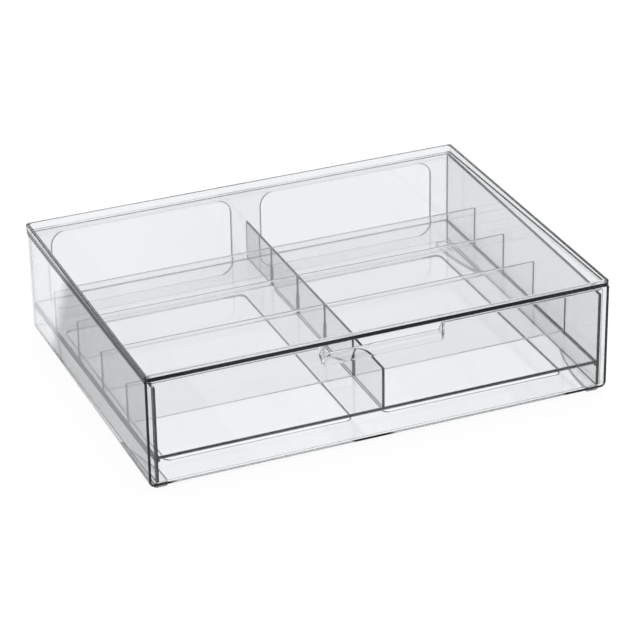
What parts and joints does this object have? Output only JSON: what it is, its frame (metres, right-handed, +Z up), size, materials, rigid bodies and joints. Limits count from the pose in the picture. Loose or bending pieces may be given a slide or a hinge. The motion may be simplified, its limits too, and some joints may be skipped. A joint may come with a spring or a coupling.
{
  "type": "eyeglasses drawer organizer",
  "caption": "Low clear plastic case with a full-width sliding drawer; a raised drawer floor and crossed low dividers keep eyeglasses in separate compartments.",
  "frame": {"origin": "middle of the outline, on the surface that the feet stand on", "axes": "+Z up, +X to the right seen from the front, the drawer opens towards -Y"},
  "size_m": [0.4084, 0.3064, 0.1035],
  "materials": {
    "clear_case": "clear moulded, polished",
    "clear_drawer": "clear moulded, polished",
    "clear_divider": "clear sheet, polished",
    "clear_foot": "clear moulded, satin underside"
  },
  "bodies": {
    "case": {"case_body": "clear_case", "top_cover": "clear_case", "foot_front_left": "clear_foot", "foot_front_right": "clear_foot", "foot_rear_left": "clear_foot", "foot_rear_right": "clear_foot"},
    "drawer": {"drawer_walls": "clear_drawer", "drawer_floor": "clear_drawer", "drawer_front": "clear_drawer", "centre_divider": "clear_divider", "cross_divider_1": "clear_divider", "cross_divider_2": "clear_divider", "cross_divider_3": "clear_divider", "cross_divider_4": "clear_divider"}
  },
  "joints": [
    {"name": "drawer_slide", "type": "slide", "parent": "case", "child": "drawer", "axis": [0, -1, 0], "range_m": [0, 0.24]}
  ]
}
